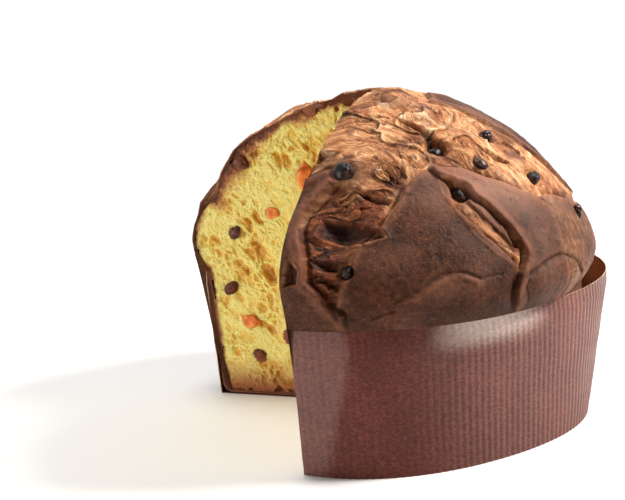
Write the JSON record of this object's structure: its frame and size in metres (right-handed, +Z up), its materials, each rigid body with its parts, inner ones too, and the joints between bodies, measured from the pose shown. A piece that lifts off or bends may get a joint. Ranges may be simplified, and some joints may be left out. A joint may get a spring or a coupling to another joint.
{
  "type": "cut panettone in its paper case",
  "caption": "Domed sweet bread in a fluted paper case with a wedge cut out, raisins and candied orange at crust and cut.",
  "frame": {"origin": "underside of the paper case on the loaf's axis, on material just behind the tip of the cut", "axes": "+Z up, -Y towards the viewer of the picture, the missing wedge opens towards -X and -Y"},
  "size_m": [0.2075, 0.2075, 0.1588],
  "materials": {
    "loaf": "baked crust over yellow open crumb",
    "paper": "satin fluted paper",
    "raisin": "wrinkled, moist",
    "candied_orange": "sugared, translucent"
  },
  "bodies": {
    "root": {"loaf": "loaf", "paper_case": "paper", "raisin_01": "raisin", "raisin_02": "raisin", "raisin_03": "raisin", "raisin_04": "raisin", "raisin_05": "raisin", "raisin_06": "raisin", "raisin_07": "raisin", "raisin_08": "raisin", "raisin_09": "raisin", "raisin_10": "raisin", "raisin_11": "raisin", "raisin_12": "raisin", "raisin_13": "raisin", "raisin_14": "raisin", "raisin_15": "raisin", "raisin_16": "raisin", "raisin_17": "raisin", "raisin_18": "raisin", "raisin_19": "raisin", "raisin_20": "raisin", "raisin_21": "raisin", "raisin_22": "raisin", "raisin_23": "raisin", "raisin_24": "raisin", "raisin_25": "raisin", "raisin_26": "raisin", "raisin_27": "raisin", "raisin_28": "raisin", "raisin_29": "raisin", "raisin_30": "raisin", "orange_01": "candied_orange", "orange_02": "candied_orange", "orange_03": "candied_orange", "orange_04": "candied_orange", "orange_05": "candied_orange", "orange_06": "candied_orange", "orange_07": "candied_orange", "orange_08": "candied_orange", "orange_09": "candied_orange", "orange_10": "candied_orange"}
  },
  "joints": []
}
